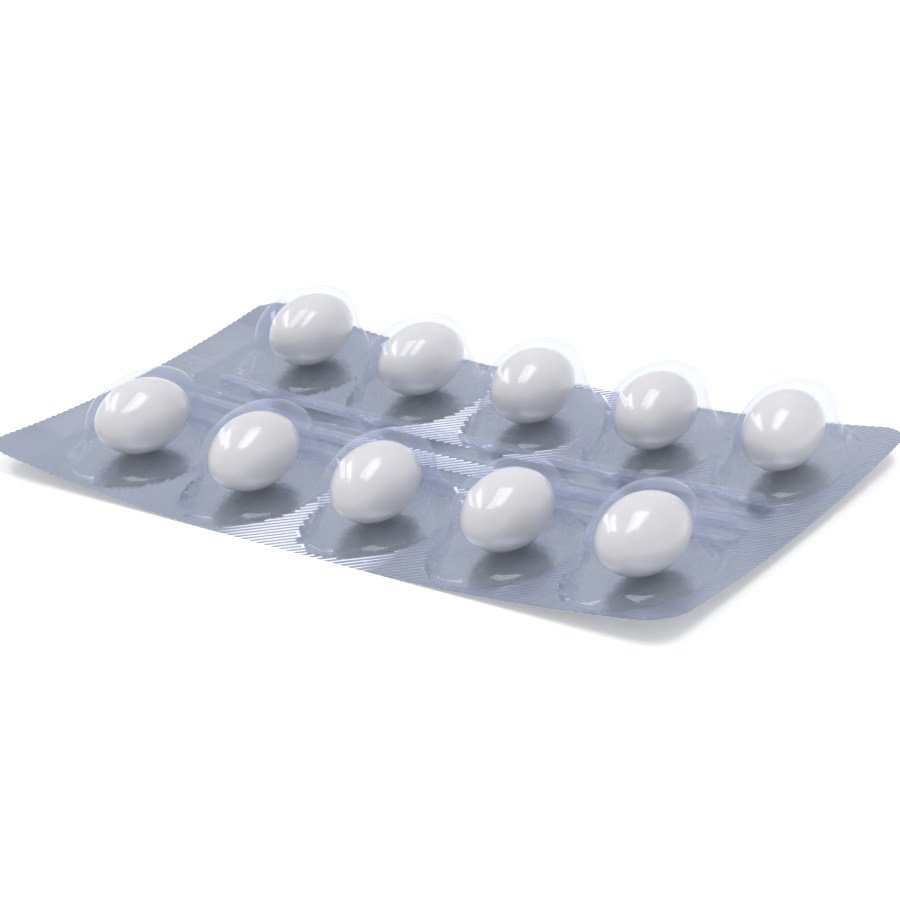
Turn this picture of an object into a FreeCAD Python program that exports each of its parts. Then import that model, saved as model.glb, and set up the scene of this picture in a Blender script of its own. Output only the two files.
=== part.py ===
import FreeCAD, Part
import math
import os
import Sketcher
from FreeCAD import Vector

WELLS_PER_ROW = 5

# driving dimensions in millimetres and degrees
DIMENSIONS = {
    "card_length": 126.0,
    "card_width": 76.0,
    "corner_radius": 5.5,
    "foil_thickness": 0.1,
    "film_thickness": 0.3,
    # the card lies flat in its middle, and its short ends curl up
    "flat_length": 16.0,
    "end_lift": 2.3,
    "corner_lift": 4.6,
    "well_pitch": 23.0,
    # from a long edge of the card to the middle of its row of wells
    "row_inset": 16.3,
    "grid_shift": 3.4,
    # inside sizes of a well, its width and length where the wall meets the dome
    "well_width": 13.2,
    "well_length": 22.8,
    "well_depth": 13.2,
    "well_wall_height": 6.6,
    # how far the wall leans out from there to its foot, before the foot flares
    "well_spread": 1.6,
    "flare_radius": 2.0,
    # outside sizes of a stiffening rib
    "rib_length": 104.4,
    "rib_width": 3.3,
    "rib_height": 2.6,
    "rib_pitch": 9.1,
    "rib_taper": 10.0,
    "capsule_length": 17.8,
    "capsule_diameter": 11.9,
    "capsule_end_radius": 4.2,
    "seat_gap": 0.05,
    # how far the cutting solids reach past the card
    "overrun": 6.0,
}

# how each capsule has settled in its well: its turn from the card's length in degrees,
# and its shifts to the side and to the back as shares of the room there
CAPSULE_LAY = {
    "front": (
        (83, -0.5, 0.05), (89, -0.7, -0.2), (91, -0.4, -0.2), (87, -0.2, 0.13), (84, -0.3, 0.15)
    ),
    "back": (
        (87, 0.6, 0.25), (84, 0.4, 0.25), (87, -0.2, -0.08), (90, -0.1, -0.13), (92, -0.5, -0.23)
    ),
}
ROW_SIDE = {"front": -1, "back": 1}

doc = FreeCAD.newDocument("BlisterPack")
sheet = doc.addObject("Spreadsheet::Sheet", "dims")
for line, (alias, number) in enumerate(DIMENSIONS.items(), start=1):
    sheet.set(f"A{line}", alias)
    sheet.set(f"B{line}", str(number))
    sheet.setAlias(f"B{line}", alias)
doc.recompute()


def value(expression):
    """The number that an expression over the sheet gives."""
    return float(sheet.evalExpression(expression))


def add(kind, name, links=None, **expressions):
    item = doc.addObject(kind, name)
    for prop, target in (links or {}).items():
        setattr(item, prop, target)
    for prop, expression in expressions.items():
        item.setExpression(prop, expression)
    return item


def place(x="0", y="0", z="0", yaw="0", pitch="0", roll="0"):
    return f"placement(vector({x}; {y}; {z}); rotation({yaw}; {pitch}; {roll}))"


def arc(center, radius, start, end):
    circle = Part.Circle(Vector(*center, 0), Vector(0, 0, 1), radius)
    return Part.ArcOfCircle(circle, math.radians(start), math.radians(end))


def line(start, end):
    return Part.LineSegment(Vector(*start, 0), Vector(*end, 0))


def dimension(sketch, kind, *where, expression):
    """A sketch dimension that follows an expression over the sheet."""
    index = sketch.addConstraint(Sketcher.Constraint(kind, *where, value(expression)))
    sketch.setExpression(f"Constraints[{index}]", expression)


def rounded_rectangle(name, length, width, radius, **expressions):
    sketch = add("Sketcher::SketchObject", name, **expressions)
    x, y, r = value(length) / 2, value(width) / 2, value(radius)
    sides = [
        line((r - x, -y), (x - r, -y)),
        line((x, r - y), (x, y - r)),
        line((x - r, y), (r - x, y)),
        line((-x, y - r), (-x, r - y)),
    ]
    centers = [(x - r, r - y), (x - r, y - r), (r - x, y - r), (r - x, r - y)]
    for number, (side, center) in enumerate(zip(sides, centers)):
        sketch.addGeometry(side)
        sketch.addGeometry(arc(center, r, 90 * number - 90, 90 * number))
    for number in range(4):
        side, corner = 2 * number, 2 * number + 1
        sketch.addConstraint(Sketcher.Constraint("Tangent", side, 2, corner, 1))
        sketch.addConstraint(Sketcher.Constraint("Tangent", corner, 2, (side + 2) % 8, 1))
        sketch.addConstraint(Sketcher.Constraint("Vertical" if number % 2 else "Horizontal", side))
        half = width if number % 2 == 0 else length
        dimension(sketch, "Distance", -1, 1, side, expression=f"({half}) / 2")
        if number:
            sketch.addConstraint(Sketcher.Constraint("Equal", 1, corner))
    dimension(sketch, "Radius", 1, expression=radius)
    return sketch


# the bow: the lift grows with the square of the distance past the flat middle
SPAN = "((dims.card_length - dims.flat_length) / 2)"


def full_lift(y):
    """The lift of the card's short edge at a distance y from its middle."""
    return f"(dims.end_lift + (dims.corner_lift - dims.end_lift) * (2 * ({y}) / dims.card_width)^2)"


def bow_section(name, y):
    """Upright section through one curled end at y, drawn past the card's edge."""
    sketch = add("Sketcher::SketchObject", name, Placement=place(y=y, roll="90"))
    near = "(dims.flat_length / 2)"
    far = f"({near} + {SPAN} + dims.overrun)"
    lift = f"({full_lift(y)} * (({SPAN} + dims.overrun) / {SPAN})^2)"
    x0, x1, top, deep = value(near), value(far), value(lift), value("dims.overrun")
    radius = ((x1 - x0) ** 2 + top**2) / (2 * top)
    sweep = math.degrees(math.asin((x1 - x0) / radius))
    sketch.addGeometry(line((x0, -deep), (x1, -deep)))
    sketch.addGeometry(line((x1, -deep), (x1, top)))
    sketch.addGeometry(arc((x0, radius), radius, 270, 270 + sweep))
    sketch.addGeometry(line((x0, 0), (x0, -deep)))
    for kind, *where in (
        ("Coincident", 0, 2, 1, 1),
        ("Coincident", 1, 2, 2, 2),
        ("Coincident", 2, 1, 3, 1),
        ("Coincident", 3, 2, 0, 1),
        ("Horizontal", 0),
        ("Vertical", 1),
        ("Vertical", 3),
        ("PointOnObject", 2, 1, -1),
        ("Vertical", 2, 3, 2, 1),
    ):
        sketch.addConstraint(Sketcher.Constraint(kind, *where))
    dimension(sketch, "DistanceX", -1, 1, 2, 1, expression=near)
    dimension(sketch, "DistanceX", -1, 1, 2, 2, expression=far)
    dimension(sketch, "DistanceY", -1, 1, 2, 2, expression=lift)
    dimension(sketch, "DistanceY", 3, 2, 3, 1, expression="dims.overrun")
    return sketch


half_reach = "(dims.card_width / 2 + dims.overrun)"
sections = [
    bow_section(f"bow_section_{number}", y)
    for number, y in enumerate((f"(-{half_reach})", "0", half_reach), start=1)
]
right_end = add("Part::Loft", "bow_right_end", {"Sections": sections, "Solid": True})
left_end = add("Part::Mirroring", "bow_left_end", {"Source": right_end, "Normal": Vector(1, 0, 0)})
middle = add(
    "Part::Box",
    "bow_middle",
    Length="dims.flat_length",
    Width=f"2 * {half_reach}",
    Height="dims.overrun",
    Placement=place("-dims.flat_length / 2", f"-{half_reach}", "-dims.overrun"),
)
bow = add("Part::MultiFuse", "bow", {"Shapes": [left_end, middle, right_end]})
doc.recompute()


def bowed_to(name, height):
    """Everything below the bowed surface that lies height above the card's underside."""
    return add("App::Link", name, {"LinkedObject": bow}, LinkPlacement=place(z=height))


foil_top = bowed_to("foil_top", "dims.foil_thickness")
film_top = bowed_to("film_top", "dims.foil_thickness + dims.film_thickness")
rib_top = bowed_to("rib_top", "dims.foil_thickness + dims.film_thickness + dims.rib_height")
rib_roof = bowed_to("rib_roof", "dims.foil_thickness + dims.rib_height")

outline = rounded_rectangle(
    "outline", "dims.card_length", "dims.card_width", "dims.corner_radius", Placement=place(z="-1")
)
card_prism = add(
    "Part::Extrusion",
    "card_prism",
    {"Base": outline, "DirMode": "Custom", "Dir": Vector(0, 0, 1), "Solid": True},
    LengthFwd="dims.corner_lift + dims.rib_height + 10",
)

# lidding foil: the flat backing sheet, bowed like the card
foil_blank = add("Part::Common", "foil_blank", {"Base": card_prism, "Tool": foil_top})
foil = add("Part::Cut", "lidding_foil", {"Base": foil_blank, "Tool": bow})


# forming film: the clear sheet with its wells and ribs
def ellipse(name, grow, height):
    return add(
        "Part::Ellipse",
        name,
        MajorRadius=f"dims.well_length / 2 + {grow}",
        MinorRadius=f"dims.well_width / 2 + {grow}",
        Placement=place(z=height, yaw="90"),
    )


def well(name, skin):
    """One well about its own origin on the foil, its surface at skin outside the inner one."""
    # the foot flares out in a quarter round about a centre shared by both surfaces of the film
    center = "(dims.film_thickness + dims.flare_radius)"
    radius = f"({center} - {skin})"
    rings = []
    for angle in (25, 45, 66):
        grow = f"(dims.well_spread + {center} - {radius} * sin({angle}))"
        height = f"({center} - {radius} * cos({angle}))"
        if angle == 25:
            rings.append(ellipse(f"{name}_ring_0", f"{grow} + ({height} + 1) / tan(40)", "-1"))
        rings.append(ellipse(f"{name}_ring_{angle}", grow, height))
    # the wall stands up gradually until it meets the dome
    for step in (0.33, 0.67, 1):
        rings.append(
            ellipse(
                f"{name}_wall_{step * 100:.0f}",
                f"{skin} + ({grow} - {skin}) * {(1 - step) ** 1.6:.4f}",
                f"{height} + (dims.well_wall_height - {height}) * {step}",
            )
        )
    wall = add("Part::Loft", f"{name}_wall", {"Sections": rings, "Solid": True})
    dome = add(
        "Part::Ellipsoid",
        f"{name}_dome",
        {"Angle1": 0},
        Radius1=f"dims.well_depth - dims.well_wall_height + {skin}",
        Radius2=f"dims.well_width / 2 + {skin}",
        Radius3=f"dims.well_length / 2 + {skin}",
        Placement=place(z="dims.well_wall_height"),
    )
    return add("Part::Fuse", name, {"Base": wall, "Tool": dome})


def well_center(column, side):
    x = f"(dims.grid_shift + dims.well_pitch * ({column - (WELLS_PER_ROW - 1) / 2}))"
    return x, f"({side} * (dims.card_width / 2 - dims.row_inset))"


def bow_at(x, y):
    """The bowed surface's rise at x and y, and its slopes along both."""
    past = f"max(0; abs({x}) - dims.flat_length / 2)"
    lift = full_lift(y)
    rise = f"({lift} * ({past} / {SPAN})^2)"
    slope_x = f"(2 * {lift} * {past} / {SPAN}^2 * ({x} < 0 ? -1 : 1))"
    side_growth = f"8 * (dims.corner_lift - dims.end_lift) * {y} / dims.card_width^2"
    return rise, slope_x, f"({side_growth} * ({past} / {SPAN})^2)"


def ribs(name, skin, roof):
    bars = []
    for side in (-1, 1):
        sketch = rounded_rectangle(
            f"{name}_{side + 2}_foot",
            f"dims.rib_length - 2 * {skin}",
            f"dims.rib_width - 2 * {skin}",
            f"dims.rib_width * 0.45 - {skin}",
            Placement=place("dims.grid_shift", f"{side} * dims.rib_pitch / 2"),
        )
        bars.append(
            add(
                "Part::Extrusion",
                f"{name}_{side + 2}_bar",
                {"Base": sketch, "DirMode": "Custom", "Dir": Vector(0, 0, 1), "Solid": True},
                LengthFwd="dims.rib_height + dims.end_lift + 1",
                TaperAngle="-dims.rib_taper",
            )
        )
    pair = add("Part::MultiFuse", f"{name}_bars", {"Shapes": bars})
    return add("Part::Common", name, {"Base": pair, "Tool": roof})


well_outside = well("well_outside", "dims.film_thickness")
well_inside = well("well_inside", "0")
rib_outside = ribs("rib_outside", "0", rib_top)
rib_inside = ribs("rib_inside", "dims.film_thickness", rib_roof)

outsides, insides = [], []
for row, side in ROW_SIDE.items():
    for column in range(WELLS_PER_ROW):
        x, y = well_center(column, side)
        upright = place(x, y, f"{bow_at(x, y)[0]} + dims.foil_thickness")
        for source, group in ((well_outside, outsides), (well_inside, insides)):
            name = f"{source.Name}_{row}_{column + 1}"
            group.append(add("App::Link", name, {"LinkedObject": source}, LinkPlacement=upright))

film_sheet = add("Part::Common", "film_sheet", {"Base": card_prism, "Tool": film_top})
film_outside = add("Part::MultiFuse", "film_outside", {"Shapes": [film_sheet, rib_outside, *outsides]})
hollow = add("Part::MultiFuse", "hollow", {"Shapes": [foil_top, rib_inside, *insides]})
film = add("Part::Cut", "forming_film", {"Base": film_outside, "Tool": hollow})


# capsules: an oval of three tangent arcs turned about its length
def capsule(name, column, side, turn, share_x, share_y):
    body = doc.addObject("PartDesign::Body", name)
    plane = next(f for f in body.Origin.OriginFeatures if f.Role == "XY_Plane")
    axis = next(f for f in body.Origin.OriginFeatures if f.Role == "X_Axis")
    sketch = body.newObject("Sketcher::SketchObject", f"{name}_profile")
    sketch.AttachmentSupport = (plane, "")
    sketch.MapMode = "FlatFace"
    a, b, r = "(dims.capsule_length / 2)", "(dims.capsule_diameter / 2)", "dims.capsule_end_radius"
    side_radius = f"((({a} - {r})^2 + {b}^2 - {r}^2) / (2 * ({b} - {r})))"
    half, center, big = value(a), value(f"{a} - {r}"), value(side_radius)
    small, sink = value(r), value(side_radius) - value(b)
    lean = math.degrees(math.atan2(sink, center))
    sketch.addGeometry(line((-half, 0), (half, 0)))
    sketch.addGeometry(arc((center, 0), small, 0, lean))
    sketch.addGeometry(arc((0, -sink), big, lean, 180 - lean))
    sketch.addGeometry(arc((-center, 0), small, 180 - lean, 180))
    for kind, *where in (
        ("Coincident", 0, 2, 1, 1),
        ("Tangent", 1, 2, 2, 1),
        ("Tangent", 2, 2, 3, 1),
        ("Coincident", 3, 2, 0, 1),
        ("Horizontal", 0),
        ("Symmetric", 0, 1, 0, 2, -1, 1),
        ("PointOnObject", 1, 3, -1),
        ("PointOnObject", 3, 3, -1),
        ("Equal", 1, 3),
    ):
        sketch.addConstraint(Sketcher.Constraint(kind, *where))
    dimension(sketch, "DistanceX", 0, 1, 0, 2, expression=f"2 * {a}")
    dimension(sketch, "Radius", 1, expression=r)
    dimension(sketch, "Radius", 2, expression=side_radius)
    turned = body.newObject("PartDesign::Revolution", f"{name}_turned")
    turned.Profile = sketch
    turned.ReferenceAxis = (axis, [""])
    turned.Angle = 360
    # it lies along the bowed foil, clear of it by the seat gap
    x, y = well_center(column, side)
    x = f"({x} + {share_x} * (dims.well_width - dims.capsule_diameter) / 2)"
    y = f"({y} + {share_y} * (dims.well_length - dims.capsule_length) / 2)"
    rise, slope_x, slope_y = bow_at(x, y)
    stand = f"({b} + dims.seat_gap) * sqrt(1 + {slope_x}^2 + {slope_y}^2)"
    lie = place(x, y, f"{rise} + dims.foil_thickness + {stand}", "0", f"-atan{slope_x}", f"atan{slope_y}")
    body.setExpression("Placement", f"{lie} * {place(yaw=str(turn))}")
    return body


nodes = [film, foil]
for row, lays in CAPSULE_LAY.items():
    for column, lay in enumerate(lays):
        nodes.append(capsule(f"capsule_{row}_{column + 1}", column, ROW_SIDE[row], *lay))

doc.recompute()
for item in doc.Objects:
    if "Invalid" in item.State or "Error" in item.State:
        raise RuntimeError(f"{item.Name} failed: {item.State}")
for node in nodes:
    if node.Shape.isNull() or not node.Shape.isValid() or len(node.Shape.Solids) != 1:
        raise RuntimeError(f"{node.Name} is not one valid solid")

os.makedirs("parts", exist_ok=True)
for node in nodes:
    node.Label = node.Name
    node.Shape.exportStep(f"parts/{node.Name}.step")
    print(f"{node.Name}: {node.Shape.Volume:.1f} mm3")
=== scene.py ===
import bpy
import math
import numpy as np
from mathutils import Matrix, Vector


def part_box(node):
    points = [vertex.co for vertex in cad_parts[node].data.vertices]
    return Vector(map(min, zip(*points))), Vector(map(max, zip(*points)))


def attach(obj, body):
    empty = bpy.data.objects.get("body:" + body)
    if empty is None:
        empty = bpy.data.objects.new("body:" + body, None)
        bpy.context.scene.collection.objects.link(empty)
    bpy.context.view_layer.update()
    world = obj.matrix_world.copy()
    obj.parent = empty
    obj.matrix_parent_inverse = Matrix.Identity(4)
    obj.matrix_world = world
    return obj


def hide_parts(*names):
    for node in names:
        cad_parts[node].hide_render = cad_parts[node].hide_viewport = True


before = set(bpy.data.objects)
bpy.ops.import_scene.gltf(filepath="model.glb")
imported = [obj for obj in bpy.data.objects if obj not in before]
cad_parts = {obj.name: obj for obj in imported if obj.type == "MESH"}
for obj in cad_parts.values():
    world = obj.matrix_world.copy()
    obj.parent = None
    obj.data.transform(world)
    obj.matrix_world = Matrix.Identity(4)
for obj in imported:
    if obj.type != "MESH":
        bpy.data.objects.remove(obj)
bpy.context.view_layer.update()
mm = 0.001

# the card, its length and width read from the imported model
filmLow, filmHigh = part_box("forming_film")
card = {
    "length": filmHigh[0] - filmLow[0],
    "width": filmHigh[1] - filmLow[1],
    "cornerRadius": 5.5 * mm,
    "cornerCuts": 9,
    "foilThickness": 0.07 * mm,
    "filmThickness": 0.25 * mm,
    "filmTop": 0.4 * mm,
    "foilTop": 0.08 * mm,
    "flatLength": 16.0 * mm,
    "endLift": 2.3 * mm,
    "cornerLift": 4.6 * mm,
    "smoothUnder": 50,  # degrees between faces that shade as one surface
}
layout = {
    "perRow": 5,
    "pitch": 23.0 * mm,
    "rowHalf": 21.7 * mm,
    "shift": 3.4 * mm,
}
knurl = {
    "step": 0.707 * mm,  # half the diagonal of one diamond, so the diamonds are 1 mm apart
    "depth": 0.2 * mm,
    "fade": 0.55,  # share of the depth that is gone at the right end
    "fadeStart": -35.0 * mm,
    "fadeEnd": 30.0 * mm,
    "stripStart": 1.4 * mm,  # the plain code strip, measured in from the left short edge
    "stripEnd": 7.3 * mm,
    "stripHalf": 26.5 * mm,
    "plainMargin": 0.5 * mm,
}
wellForm = {
    "halfWidth": 6.9 * mm,  # outside, at the shoulder where the wall meets the dome
    "halfLength": 11.7 * mm,
    "shoulder": 6.7 * mm,
    "top": 13.6 * mm,
    "spread": 1.77 * mm,  # how far the wall leans out to its foot
    "lean": 1.6,
    "foot": 3.0 * mm,  # how far the flared foot lies outside the shoulder
    "flare": 2.0 * mm,
    "flareTurns": (25, 45, 66),  # degrees round the flare, from the foot to the wall
    "wallStart": 1.59 * mm,
    "settle": 3.0 * mm,  # height over which the upright wall follows the curled card
    "points": 96,
    "domeRings": 12,
    "wallRings": 6,
}
ribForm = {
    "halfLength": 52.1 * mm,
    "halfWidth": 1.58 * mm,
    "top": 3.0 * mm,
    "offset": 4.55 * mm,
    "flare": 0.1 * mm,
    "edge": 0.45 * mm,
    "edgeTurns": (0, 30, 60, 90),
    "draft": 0.46 * mm,
    "cuts": 120,
    "endPoints": 24,
}
openings = {
    "gap": 0.35 * mm,
    "wellStart": 6.75 * mm,  # the sheet keeps one row of faces between the wells and the ribs
    "ribHalf": 1.75 * mm,
    "wellReach": (11.5 * mm, 15.0 * mm),  # half sizes of the area in which each form is joined
    "ribReach": (55.0 * mm, 2.1 * mm),
}


def lift(x, y):
    # height of the curled card above its flat middle, with its slopes
    span = (card["length"] - card["flatLength"]) / 2
    past = np.maximum(np.abs(x) - card["flatLength"] / 2, 0) / span
    side = 2 * y / card["width"]
    rise = card["cornerLift"] - card["endLift"]
    full = card["endLift"] + rise * side**2
    slopeX = 2 * full * past / span * np.sign(x)
    slopeY = 4 * rise * side / card["width"] * past**2
    return full * past**2, slopeX, slopeY


def nearestWell(x):
    # the middle of the nearest column of wells
    reach = (layout["perRow"] - 1) / 2
    column = np.clip(np.round((x - layout["shift"]) / layout["pitch"]), -reach, reach)
    return layout["shift"] + column * layout["pitch"]


def wellRatio(x, y, grow):
    # 1 on the ellipse that lies grow outside the nearest well's shoulder, less inside it
    acrossX = (x - nearestWell(x)) / (wellForm["halfWidth"] + grow)
    acrossY = (np.abs(y) - layout["rowHalf"]) / (wellForm["halfLength"] + grow)
    return np.hypot(acrossX, acrossY)


def ribDistance(x, y):
    # distance from the nearest rib's centre line
    along = np.maximum(np.abs(x - layout["shift"]) - ribForm["halfLength"] + ribForm["halfWidth"], 0)
    return np.hypot(along, np.abs(y) - ribForm["offset"])


def knurlDepth(x, y):
    # full on the left, fading to the right; none in the wells, along the ribs and on the code strip
    fromLeft = x + card["length"] / 2
    onStrip = (fromLeft > knurl["stripStart"]) & (fromLeft < knurl["stripEnd"])
    onStrip &= np.abs(y) < knurl["stripHalf"]
    pastRibs = ribDistance(x, y) > ribForm["halfWidth"] + ribForm["flare"] + knurl["plainMargin"]
    pastWells = wellRatio(x, y, wellForm["foot"] + knurl["plainMargin"]) > 1
    along = np.clip((x - knurl["fadeStart"]) / (knurl["fadeEnd"] - knurl["fadeStart"]), 0, 1)
    return knurl["depth"] * (1 - knurl["fade"] * along) * (pastWells & pastRibs & ~onStrip)


def clearSelection():
    if bpy.context.object and bpy.context.object.mode != "OBJECT":
        bpy.ops.object.mode_set(mode="OBJECT")
    bpy.ops.object.select_all(action="DESELECT")


def editOnly(piece, mode="VERT"):
    clearSelection()
    bpy.context.view_layer.objects.active = piece
    piece.select_set(True)
    bpy.ops.object.mode_set(mode="EDIT")
    bpy.ops.mesh.select_mode(type=mode)


def readPoints(piece):
    points = np.empty(len(piece.data.vertices) * 3)
    piece.data.vertices.foreach_get("co", points)
    return points.reshape(-1, 3)


def writePoints(piece, points):
    piece.data.vertices.foreach_set("co", np.ascontiguousarray(points).ravel())
    piece.data.update()


def bendToCard(piece):
    # lays a flat-modelled piece on the curled card, where the wells stand upright on their feet
    points = readPoints(piece)
    x, y, tall = points.T.copy()
    height = lift(x, y)[0]
    wellHeight = lift(nearestWell(x), np.sign(y) * layout["rowHalf"])[0]
    upright = np.clip((tall - card["filmTop"]) / wellForm["settle"], 0, 1)
    upright = upright**2 * (3 - 2 * upright) * (wellRatio(x, y, wellForm["foot"]) < 1)
    points[:, 2] = tall + height + (wellHeight - height) * upright
    writePoints(piece, points)


def applyAll(piece):
    clearSelection()
    bpy.context.view_layer.objects.active = piece
    piece.select_set(True)
    for modifier in list(piece.modifiers):
        bpy.ops.object.modifier_apply(modifier=modifier.name)


def smoothBy(piece, degrees):
    clearSelection()
    bpy.context.view_layer.objects.active = piece
    piece.select_set(True)
    bpy.ops.object.shade_smooth_by_angle(angle=math.radians(degrees))


def knurledSheet(name, height):
    # a card-shaped grid whose every other point is pressed down, so that it shows as diamonds
    clearSelection()
    columns = 2 * round(card["length"] / knurl["step"] / 2)
    rows = 2 * round(card["width"] / knurl["step"] / 2)
    bpy.ops.mesh.primitive_grid_add(x_subdivisions=columns, y_subdivisions=rows, size=2)
    sheet = bpy.context.object
    sheet.name = sheet.data.name = name
    points = readPoints(sheet)
    column = np.round((points[:, 0] + 1) / 2 * columns)
    row = np.round((points[:, 1] + 1) / 2 * rows)
    points[:, 0] *= card["length"] / 2
    points[:, 1] *= card["width"] / 2
    raised = (column + row) % 2 == 0
    depth = knurlDepth(points[:, 0], points[:, 1])
    points[:, 2] = height + np.where(raised, 0, -1) * depth
    writePoints(sheet, points)
    splitDiamonds(sheet, raised)
    trimCorners(sheet)
    return sheet


def faceMiddles(piece):
    middles = np.empty(len(piece.data.polygons) * 3)
    piece.data.polygons.foreach_get("center", middles)
    return middles.reshape(-1, 3)


def selectFaces(piece, chosen):
    # leaves the piece in edit mode with only the chosen faces selected
    clearSelection()
    piece.data.vertices.foreach_set("select", np.zeros(len(piece.data.vertices), bool))
    piece.data.edges.foreach_set("select", np.zeros(len(piece.data.edges), bool))
    piece.data.polygons.foreach_set("select", chosen)
    bpy.context.view_layer.objects.active = piece
    piece.select_set(True)
    bpy.ops.object.mode_set(mode="EDIT")
    bpy.ops.mesh.select_mode(type="FACE")


def splitDiamonds(sheet, raised):
    # each knurled face is split between its two low points, so that the high ones become pyramids
    for firstRaised, method in ((False, "FIXED"), (True, "FIXED_ALTERNATE")):
        middles = faceMiddles(sheet)
        starts = np.array([face.vertices[0] for face in sheet.data.polygons])
        fourSided = np.array([len(face.vertices) == 4 for face in sheet.data.polygons])
        knurled = knurlDepth(middles[:, 0], middles[:, 1]) > 0
        selectFaces(sheet, (raised[starts] == firstRaised) & knurled & fourSided)
        bpy.ops.mesh.quads_convert_to_tris(quad_method=method)
        clearSelection()


def finishShading(piece):
    # smooth all over, but for the flat sides of the knurl's pyramids
    smoothBy(piece, card["smoothUnder"])
    middles = faceMiddles(piece)
    knurled = knurlDepth(middles[:, 0], middles[:, 1]) > 0
    piece.data.polygons.foreach_set("use_smooth", ~knurled)
    piece.data.update()


def trimCorners(sheet):
    radius, cuts = card["cornerRadius"], card["cornerCuts"]
    for sideX in (-1, 1):
        for sideY in (-1, 1):
            center = Vector(
                (sideX * (card["length"] / 2 - radius), sideY * (card["width"] / 2 - radius), 0)
            )
            for cut in range(cuts):
                turn = (cut + 0.5) / cuts * math.pi / 2
                outward = Vector((sideX * math.cos(turn), sideY * math.sin(turn), 0))
                editOnly(sheet)
                bpy.ops.mesh.select_all(action="SELECT")
                bpy.ops.mesh.bisect(
                    plane_co=center + outward * radius,
                    plane_no=outward,
                    clear_outer=True,
                )
    clearSelection()


def ringUp(scaleX, scaleY, rise):
    # one more ring of a formed wall: extruded up, then drawn in towards the middle
    bpy.ops.mesh.extrude_edges_move(TRANSFORM_OT_translate={"value": (0, 0, rise)})
    bpy.ops.transform.resize(value=(scaleX, scaleY, 1), center_override=(0, 0, 0))


def wellRings():
    # half width, half length and height of each ring of a well's outer face, from the foot up
    width, length, flare = wellForm["halfWidth"], wellForm["halfLength"], wellForm["flare"]
    grows = [(wellForm["foot"], card["filmTop"])]
    turns = [math.radians(turn) for turn in wellForm["flareTurns"]]
    for turn in turns:
        outwards = wellForm["spread"] + flare * (math.sin(turns[-1]) - math.sin(turn))
        below = flare * (math.cos(turn) - math.cos(turns[-1]))
        grows.append((outwards, wellForm["wallStart"] - below))
    for step in range(1, wellForm["wallRings"] + 1):
        share = step / wellForm["wallRings"]
        lean = (1 - share) ** wellForm["lean"]
        rise = (wellForm["shoulder"] - wellForm["wallStart"]) * share
        grows.append((wellForm["spread"] * lean, wellForm["wallStart"] + rise))
    rings = [(width + grow, length + grow, height) for grow, height in grows]
    domeHeight = wellForm["top"] - wellForm["shoulder"]
    for step in range(1, wellForm["domeRings"]):
        turn = step / wellForm["domeRings"] * math.pi / 2
        scale = math.cos(turn)
        rings.append((width * scale, length * scale, wellForm["shoulder"] + domeHeight * math.sin(turn)))
    return rings


def formedWell():
    # the outer face of one well: flared foot, wall and dome
    clearSelection()
    bpy.ops.mesh.primitive_circle_add(vertices=wellForm["points"], radius=1)
    well = bpy.context.object
    rings = wellRings()
    editOnly(well, "EDGE")
    bpy.ops.mesh.select_all(action="SELECT")
    bpy.ops.transform.resize(value=(*rings[0][:2], 1), center_override=(0, 0, 0))
    bpy.ops.transform.translate(value=(0, 0, rings[0][2]))
    for (x0, y0, z0), (x1, y1, z1) in zip(rings, rings[1:]):
        ringUp(x1 / x0, y1 / y0, z1 - z0)
    crown = wellForm["top"] - rings[-1][2]
    bpy.ops.mesh.extrude_edges_move(TRANSFORM_OT_translate={"value": (0, 0, crown)})
    bpy.ops.mesh.merge(type="CENTER")
    clearSelection()
    return well


def ribProfile():
    # growth of the rib's outline and height above the sheet, from the foot to the top's middle
    flare, edge, draft = ribForm["flare"], ribForm["edge"], ribForm["draft"]
    tall = ribForm["top"] - card["filmTop"]
    profile = [(flare, 0), (flare * 0.3, flare * 0.3), (0, flare)]
    for turn in ribForm["edgeTurns"]:
        angle = math.radians(turn)
        inwards = draft + edge * (1 - math.cos(angle))
        profile.append((-inwards, tall - edge * (1 - math.sin(angle))))
    return profile


def formedRib():
    # the outer face of one rib: a long loop with round ends, raised and closed on its centre line
    clearSelection()
    half, long = ribForm["halfWidth"], ribForm["halfLength"] - ribForm["halfWidth"]
    bpy.ops.mesh.primitive_circle_add(vertices=ribForm["endPoints"], radius=half + ribForm["flare"])
    rib = bpy.context.object
    editOnly(rib)
    halfStep = math.pi / ribForm["endPoints"]
    bpy.ops.transform.rotate(value=halfStep, orient_axis="Z", center_override=(0, 0, 0))
    clearSelection()
    points = readPoints(rib)
    points[:, 0] += np.sign(points[:, 0]) * long
    points[:, 2] = card["filmTop"]
    writePoints(rib, points)
    for edge in rib.data.edges:
        a, b = (rib.data.vertices[i].co.x for i in edge.vertices)
        edge.select = a * b < 0
    for item in rib.data.vertices:
        item.select = False
    editOnly(rib, "EDGE")
    bpy.ops.mesh.subdivide(number_cuts=ribForm["cuts"])
    bpy.ops.mesh.select_all(action="SELECT")
    profile = ribProfile()
    for (g0, z0), (g1, z1) in zip(profile, profile[1:]):
        ringUp((long + half + g1) / (long + half + g0), (half + g1) / (half + g0), z1 - z0)
    bpy.ops.mesh.extrude_edges_move(TRANSFORM_OT_translate={"value": (0, 0, 0)})
    bpy.ops.transform.resize(value=((long - half) / long, 0, 1), center_override=(0, 0, 0))
    bpy.ops.mesh.remove_doubles(threshold=0.01 * mm)
    clearSelection()
    return rib


def copyTo(source, name, x, y):
    twin = source.copy()
    twin.data = source.data.copy()
    twin.name = twin.data.name = name
    bpy.context.collection.objects.link(twin)
    points = readPoints(twin)
    points[:, 0] += x
    points[:, 1] += y
    writePoints(twin, points)
    return twin


def cutOpening(sheet, chosen):
    # removes the faces whose middle the test picks
    middles = faceMiddles(sheet)
    selectFaces(sheet, chosen(middles[:, 0], middles[:, 1]))
    bpy.ops.mesh.delete(type="FACE")
    clearSelection()


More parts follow.
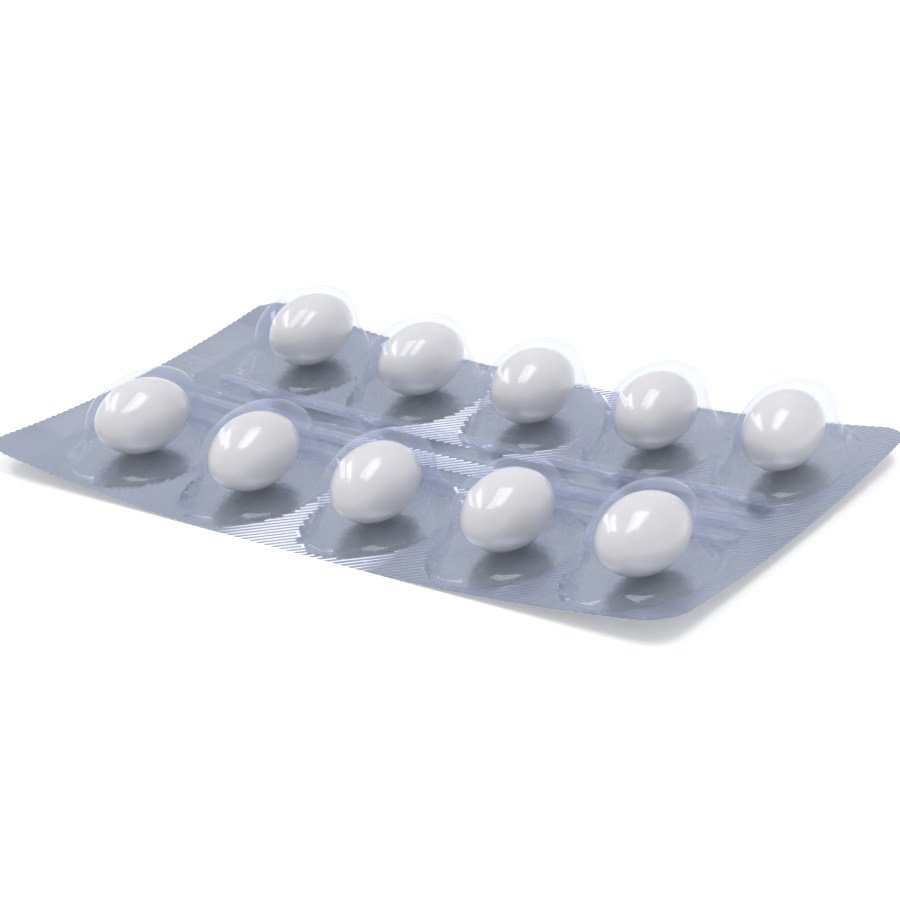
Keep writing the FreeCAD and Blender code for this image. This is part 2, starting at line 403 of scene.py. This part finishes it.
def bridgeAround(film, x, y, reachX, reachY):
    # joins the foot of one form to the hole that was cut for it
    editOnly(film, "EDGE")
    bpy.ops.mesh.select_all(action="DESELECT")
    bpy.ops.mesh.select_non_manifold(
        extend=False, use_wire=False, use_boundary=True, use_multi_face=False,
        use_non_contiguous=False, use_verts=False,
    )
    bpy.ops.object.mode_set(mode="OBJECT")
    points = readPoints(film)
    near = (np.abs(points[:, 0] - x) < reachX) & (np.abs(points[:, 1] - y) < reachY)
    ends = np.empty(len(film.data.edges) * 2, int)
    film.data.edges.foreach_get("vertices", ends)
    ends = ends.reshape(-1, 2)
    chosen = np.empty(len(film.data.edges), bool)
    film.data.edges.foreach_get("select", chosen)
    chosen &= near[ends].all(axis=1)
    film.data.polygons.foreach_set("select", np.zeros(len(film.data.polygons), bool))
    film.data.vertices.foreach_set("select", np.zeros(len(film.data.vertices), bool))
    film.data.edges.foreach_set("select", chosen)
    bpy.ops.object.mode_set(mode="EDIT")
    bpy.ops.mesh.bridge_edge_loops()
    clearSelection()


def underWells(x, y):
    reach = wellForm["foot"] + openings["gap"]
    return (wellRatio(x, y, reach) < 1) & (np.abs(y) > openings["wellStart"])


def underRibs(x, y):
    reach = ribForm["halfWidth"] + ribForm["flare"] + openings["gap"]
    beside = np.abs(np.abs(y) - ribForm["offset"])
    return (ribDistance(x, y) < reach) & (beside < openings["ribHalf"])


def joinForms(film):
    # puts every well and rib on the sheet and bridges its foot to the hole below it
    wellSource, ribSource = formedWell(), formedRib()
    forms = []
    for side in (-1, 1):
        row, bar = side * layout["rowHalf"], side * ribForm["offset"]
        for column in range(layout["perRow"]):
            x = layout["shift"] + (column - (layout["perRow"] - 1) / 2) * layout["pitch"]
            forms.append((copyTo(wellSource, "well", x, row), x, row, *openings["wellReach"]))
        rib = copyTo(ribSource, "rib", layout["shift"], bar)
        forms.append((rib, layout["shift"], bar, *openings["ribReach"]))
    clearSelection()
    for form in forms:
        form[0].select_set(True)
    film.select_set(True)
    bpy.context.view_layer.objects.active = film
    bpy.ops.object.join()
    for source in (wellSource, ribSource):
        bpy.data.objects.remove(source)
    for _, x, y, reachX, reachY in forms:
        bridgeAround(film, x, y, reachX, reachY)


class Wire:
    # a shader socket that adds Math nodes when it is used in sums
    def __init__(self, recipe, socket):
        self.recipe, self.socket = recipe, socket

    def math(self, operation, *others):
        values = {index: other for index, other in enumerate((self, *others))}
        return self.recipe.node("ShaderNodeMath", {"operation": operation}, values)

    def __add__(self, other):
        return self.math("ADD", other)

    def __radd__(self, other):
        return self.math("ADD", other)

    def __sub__(self, other):
        return self.math("SUBTRACT", other)

    def __rsub__(self, other):
        return self.recipe.node("ShaderNodeMath", {"operation": "SUBTRACT"}, {0: other, 1: self})

    def __mul__(self, other):
        return self.math("MULTIPLY", other)

    def __rmul__(self, other):
        return self.math("MULTIPLY", other)

    def __truediv__(self, other):
        return self.math("DIVIDE", other)

    def __abs__(self):
        return self.math("ABSOLUTE")

    def over(self, other):
        return self.math("GREATER_THAN", other)

    def under(self, other):
        return self.math("LESS_THAN", other)

    def most(self, other):
        return self.math("MAXIMUM", other)

    def least(self, other):
        return self.math("MINIMUM", other)

    def whole(self):
        return self.math("ROUND")

    def far(self, other):
        # length of the step given by this and the other
        return (self * self + other * other).math("SQRT")

    def soft(self, low, high):
        # 0 below low, 1 above high and smooth between
        settings = {"interpolation_type": "SMOOTHSTEP"}
        return self.recipe.node("ShaderNodeMapRange", settings, {0: self, 1: low, 2: high})


class Recipe:
    # one material, or the sky, built node by node
    def __init__(self, name=None, tree=None):
        if tree is None:
            self.material = bpy.data.materials.new(name)
            self.material.use_nodes = True
            tree = self.material.node_tree
            self.shader = tree.nodes["Principled BSDF"]
            self.output = tree.nodes["Material Output"]
        self.tree = tree

    def put(self, socket, value):
        if isinstance(value, Wire):
            self.tree.links.new(value.socket, socket)
        else:
            socket.default_value = value

    def node(self, kind, settings=None, values=None, out=0):
        made = self.tree.nodes.new(kind)
        for name, setting in (settings or {}).items():
            setattr(made, name, setting)
        for name, value in (values or {}).items():
            self.put(made.inputs[name], value)
        return Wire(self, made.outputs[out])

    def set(self, **values):
        for name, value in values.items():
            self.put(self.shader.inputs[name.replace("_", " ")], value)

    def place(self):
        # the point on the piece, with its x and y, in metres
        point = self.node("ShaderNodeTexCoord", out="Object")
        split = self.tree.nodes.new("ShaderNodeSeparateXYZ")
        self.tree.links.new(point.socket, split.inputs[0])
        return point, *(Wire(self, split.outputs[axis]) for axis in range(2))

    def noise(self, point, size, detail=2.0, roughness=0.5):
        values = {"Vector": point, "Scale": 1 / size, "Detail": detail, "Roughness": roughness}
        return self.node("ShaderNodeTexNoise", None, values, out="Fac")

    def blend(self, factor, one, other):
        # the colour sockets of a Mix node are its inputs 6 and 7 and its output 2
        return self.node("ShaderNodeMix", {"data_type": "RGBA"}, {0: factor, 6: one, 7: other}, out=2)

    def bump(self, height, strength, distance):
        values = {"Height": height, "Strength": strength, "Distance": distance}
        return self.node("ShaderNodeBump", None, values)


def stripTicks(x, y):
    # two groups of plain tick bars pressed into the code strip, as heights from 0 to 1
    strip = {
        "middle": -59.7 * mm,
        "barHalf": 1.9 * mm,
        "spacing": 1.3 * mm,
        "barHalfWidth": 0.22 * mm,
        "softness": 0.2 * mm,
        "groups": ((7.6 * mm, 10.4 * mm), (12.6 * mm, 16.8 * mm)),
    }
    across = 1 - abs(x - strip["middle"]).soft(strip["barHalf"] - strip["softness"], strip["barHalf"])
    nearest = (y / strip["spacing"]).whole() * strip["spacing"]
    width = strip["barHalfWidth"]
    bar = 1 - abs(y - nearest).soft(width, width + strip["softness"])
    groups = sum(y.over(low) * y.under(high) for low, high in strip["groups"])
    return across * bar * groups


def insideWells(x, y, grow):
    # 1 inside the wells' outline set out by grow
    reach = (layout["perRow"] - 1) / 2
    column = ((x - layout["shift"]) / layout["pitch"]).whole().least(reach).most(-reach)
    acrossX = (x - layout["shift"] - column * layout["pitch"]) / (wellForm["halfWidth"] + grow)
    acrossY = (abs(y) - layout["rowHalf"]) / (wellForm["halfLength"] + grow)
    return 1 - acrossX.far(acrossY).soft(0.96, 1.03)


def foilFinish():
    look = {
        "color": (0.42, 0.455, 0.51, 1),
        "tarnish": (0.37, 0.41, 0.475, 1),
        "knurlRoughness": 0.16,
        "wellRoughness": 0.24,
        "crinkle": 0.22,
        "grain": 0.015,
        "grainRoughness": 0.05,
        "tick": 0.25,
        "crinkleSize": 6 * mm,
        "grainSize": 0.5 * mm,
        "cloudSize": 20 * mm,
        "relief": 1 * mm,
    }
    foilLook = Recipe("foilFinish")
    point, x, y = foilLook.place()
    wells = insideWells(x, y, wellForm["foot"])
    crinkle = foilLook.noise(point, look["crinkleSize"], 3)
    grain = foilLook.noise(point, look["grainSize"], 2)
    cloud = foilLook.noise(point, look["cloudSize"], 2)
    relief = stripTicks(x, y) * look["tick"] + crinkle * look["crinkle"] + grain * look["grain"]
    roughness = wells * (look["wellRoughness"] - look["knurlRoughness"]) + look["knurlRoughness"]
    foilLook.set(
        Base_Color=foilLook.blend(cloud.soft(0.35, 0.65), look["color"], look["tarnish"]),
        Metallic=1.0,
        Roughness=roughness + grain * look["grainRoughness"],
        Normal=foilLook.bump(relief, 1.0, look["relief"]),
    )
    return foilLook.material


def filmFinish():
    look = {
        "haze": (0.74, 0.79, 0.90, 1),
        "clear": (0.955, 0.96, 0.985, 1),
        "roughness": 0.06,
        "metallic": 0.25,
        "least": 0.1,  # share of the light that a wall turns back when it is seen square on
        "edge": 0.5,  # and the rest, towards its edges
        "waviness": 0.2,
        "frost": 0.5,
        "tick": 0.25,
        "wavinessSize": 6 * mm,
        "frostSize": 1.1 * mm,
        "frostHalf": 2 * mm,  # half width of the frosted band along each rib
        "relief": 1 * mm,
        "layerBlend": 0.33,
    }
    filmLook = Recipe("filmFinish")
    point, x, y = filmLook.place()
    low, high = ribForm["offset"] - look["frostHalf"], ribForm["offset"] + look["frostHalf"]
    onRibs = abs(y).under(high) * abs(y).over(low)
    waviness = filmLook.noise(point, look["wavinessSize"], 2)
    frost = filmLook.noise(point, look["frostSize"], 3) * onRibs
    relief = waviness * look["waviness"] + frost * look["frost"] + stripTicks(x, y) * look["tick"]
    surface = filmLook.bump(relief, 1.0, look["relief"])
    filmLook.set(
        Base_Color=look["haze"],
        Metallic=look["metallic"],
        Roughness=look["roughness"],
        Normal=surface,
    )
    fresnel = filmLook.node("ShaderNodeLayerWeight", None, {"Blend": look["layerBlend"]}, out="Fresnel")
    inside = filmLook.node("ShaderNodeNewGeometry", out="Backfacing")
    turned = (fresnel * look["edge"] + look["least"]) * (1 - inside)
    clear = filmLook.node("ShaderNodeBsdfTransparent", None, {"Color": look["clear"]})
    gloss = Wire(filmLook, filmLook.shader.outputs[0])
    mixed = filmLook.node("ShaderNodeMixShader", None, {0: turned, 1: clear, 2: gloss})
    filmLook.put(filmLook.output.inputs["Surface"], mixed)
    return filmLook.material


def capsuleFinish():
    look = {
        "color": (0.85, 0.81, 0.74, 1),
        "shade": (0.80, 0.76, 0.685, 1),
        "roughness": 0.28,
        "coat": 1.0,
        "coatRoughness": 0.06,
        "cloudSize": 7 * mm,
        "dimpleSize": 5 * mm,
        "dimpleDepth": 0.4 * mm,
    }
    capsuleLook = Recipe("capsuleFinish")
    point = capsuleLook.place()[0]
    dimples = capsuleLook.noise(point, look["dimpleSize"], 1)
    cloud = capsuleLook.noise(point, look["cloudSize"], 2)
    capsuleLook.set(
        Base_Color=capsuleLook.blend(cloud.soft(0.35, 0.7), look["color"], look["shade"]),
        Roughness=look["roughness"],
        Subsurface_Weight=0.15,
        Subsurface_Radius=(2 * mm, 1.6 * mm, 1.2 * mm),
        Coat_Weight=look["coat"],
        Coat_Roughness=look["coatRoughness"],
        Normal=capsuleLook.bump(dimples, 0.3, look["dimpleDepth"]),
    )
    return capsuleLook.material


# lidding foil
foil = knurledSheet("liddingFoil", card["foilTop"])
solid = foil.modifiers.new("gauge", "SOLIDIFY")
solid.thickness = card["foilThickness"]
solid.offset = -1
applyAll(foil)
bendToCard(foil)
finishShading(foil)
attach(foil, "root")
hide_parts("lidding_foil")
foil.data.materials.clear()
foil.data.materials.append(foilFinish())
print("foil", len(foil.data.polygons), "faces")

# forming film
film = knurledSheet("formingFilm", card["filmTop"])
cutOpening(film, underWells)
cutOpening(film, underRibs)
joinForms(film)
editOnly(film)
bpy.ops.mesh.select_all(action="SELECT")
bpy.ops.mesh.normals_make_consistent(inside=False)
clearSelection()
solid = film.modifiers.new("gauge", "SOLIDIFY")
solid.thickness = card["filmThickness"]
solid.offset = -1
applyAll(film)
bendToCard(film)
finishShading(film)
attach(film, "root")
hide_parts("forming_film")
film.data.materials.clear()
film.data.materials.append(filmFinish())
print("film", len(film.data.polygons), "faces")

# capsules
capsuleForm = {
    "halfLength": 8.9 * mm,
    "radius": 5.95 * mm,
    "endRadius": 4.2 * mm,
    "segments": 56,
    "rings": 40,
    "smoothUnder": 60,
}


def ovalRadius(along):
    # the oval's half width at a distance from its middle: a long side arc between two end arcs
    half, wide, end = capsuleForm["halfLength"], capsuleForm["radius"], capsuleForm["endRadius"]
    center = half - end
    side = (center**2 + wide**2 - end**2) / (2 * (wide - end))
    meeting = side * center / (side - end)
    onEnd = np.sqrt(np.maximum(end**2 - (along - center) ** 2, 0))
    onSide = np.sqrt(side**2 - np.minimum(along, meeting) ** 2) - (side - wide)
    return np.where(along > meeting, onEnd, onSide)


def ovalCapsule(name, node):
    # the ball is drawn out to an oval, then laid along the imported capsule's own long axis
    solid = readPoints(node)
    middle = (solid.min(axis=0) + solid.max(axis=0)) / 2
    long = np.linalg.eigh(np.cov((solid - middle).T))[1][:, -1]
    long = Vector(long if long[1] > 0 else -long)
    clearSelection()
    bpy.ops.mesh.primitive_uv_sphere_add(
        segments=capsuleForm["segments"], ring_count=capsuleForm["rings"], radius=1
    )
    oval = bpy.context.object
    oval.name = oval.data.name = name
    points = readPoints(oval)
    across = np.hypot(points[:, 0], points[:, 1])
    points[:, 2] *= capsuleForm["halfLength"]
    radius = ovalRadius(np.abs(points[:, 2])) / np.maximum(across, 1e-6)
    points[:, :2] *= radius[:, None]
    writePoints(oval, points)
    turn = long.to_track_quat("Z", "X").to_matrix().to_4x4()
    oval.data.transform(Matrix.Translation(Vector(middle)) @ turn)
    return oval


pearl = capsuleFinish()
for nodeName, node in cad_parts.items():
    if not nodeName.startswith("capsule_"):
        continue
    _, row, number = nodeName.split("_")
    capsule = ovalCapsule(f"capsule{row.title()}{number}", node)
    smoothBy(capsule, capsuleForm["smoothUnder"])
    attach(capsule, "root")
    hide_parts(nodeName)
    capsule.data.materials.clear()
    capsule.data.materials.append(pearl)
print("capsules done")

# studio
studio = {
    "floorSize": 6.0,
    "floorColor": (0.92, 0.92, 0.92, 1),
    "floorGlow": 0.25,  # lifts the seen floor to white and leaves the shadows on it
    "skyStrength": 0.7,
    "backdrop": 1.0,
    "cameraPlace": (0.224808, -0.317719, 0.171104),
    "cameraForward": (-0.527570, 0.750360, -0.398285),
    "cameraRight": (0.827216, 0.560471, -0.039818),
    "lens": 107.67,
}
lamps = {
    "stripBox": {"place": (-0.54, -0.07, 0.71), "across": 0.13, "along": 0.85, "power": 2.2},
    "topBox": {"place": (0.31, 0.03, 0.84), "across": 0.22, "along": 0.65, "power": 2.6},
}


def seenRays(look):
    # 1 for what the camera, a mirror or a clear piece shows
    rays = [
        look.node("ShaderNodeLightPath", out=f"Is {kind} Ray")
        for kind in ("Camera", "Glossy", "Transmission")
    ]
    return rays[0].most(rays[1]).most(rays[2])


def studioFloor():
    clearSelection()
    bpy.ops.mesh.primitive_plane_add(size=studio["floorSize"])
    floor = bpy.context.object
    floor.name = "floor"
    paint = Recipe("floorPaint")
    paint.set(
        Base_Color=studio["floorColor"],
        Roughness=0.9,
        Specular_IOR_Level=0.0,
        Emission_Color=(1, 1, 1, 1),
        Emission_Strength=seenRays(paint) * studio["floorGlow"],
    )
    floor.data.materials.append(paint.material)
    return floor


def softbox(name, place, across, along, power):
    # a long lamp aimed at the middle of the card, its length in the direction of view
    clearSelection()
    bpy.ops.object.light_add(type="AREA", location=place)
    lamp = bpy.context.object
    lamp.name = name
    lamp.data.shape = "RECTANGLE"
    lamp.data.size, lamp.data.size_y, lamp.data.energy = across, along, power
    outwards = Vector(place).normalized()
    side = Vector(studio["cameraForward"]).cross(outwards).normalized()
    lamp.rotation_euler = Matrix((side, outwards.cross(side), outwards)).transposed().to_euler()


def studioSky():
    world = bpy.data.worlds.new("sky")
    bpy.context.scene.world = world
    world.use_nodes = True
    sky = Recipe(tree=world.node_tree)
    soft = sky.node("ShaderNodeBackground", None, {"Strength": studio["skyStrength"]})
    seen = sky.node("ShaderNodeBackground", None, {"Strength": studio["backdrop"]})
    for background in (soft, seen):
        background.socket.node.inputs["Color"].default_value = (1, 1, 1, 1)
    mixed = sky.node("ShaderNodeMixShader", None, {0: seenRays(sky), 1: soft, 2: seen})
    sky.put(world.node_tree.nodes["World Output"].inputs["Surface"], mixed)


def studioCamera():
    clearSelection()
    bpy.ops.object.camera_add(location=studio["cameraPlace"])
    camera = bpy.context.object
    right, forward = Vector(studio["cameraRight"]), Vector(studio["cameraForward"])
    up = right.cross(forward)
    camera.rotation_euler = Matrix((right, up, -forward)).transposed().to_euler()
    camera.data.lens = studio["lens"]
    camera.data.sensor_width = 36
    camera.data.clip_start = 0.01
    bpy.context.scene.camera = camera


floor = studioFloor()
studioSky()
for name, lamp in lamps.items():
    softbox(name, **lamp)
studioCamera()
scene = bpy.context.scene
scene.view_settings.view_transform = "Standard"
scene.cycles.transparent_max_bounces = 40  # a line of sight crosses many clear walls
print("studio done")
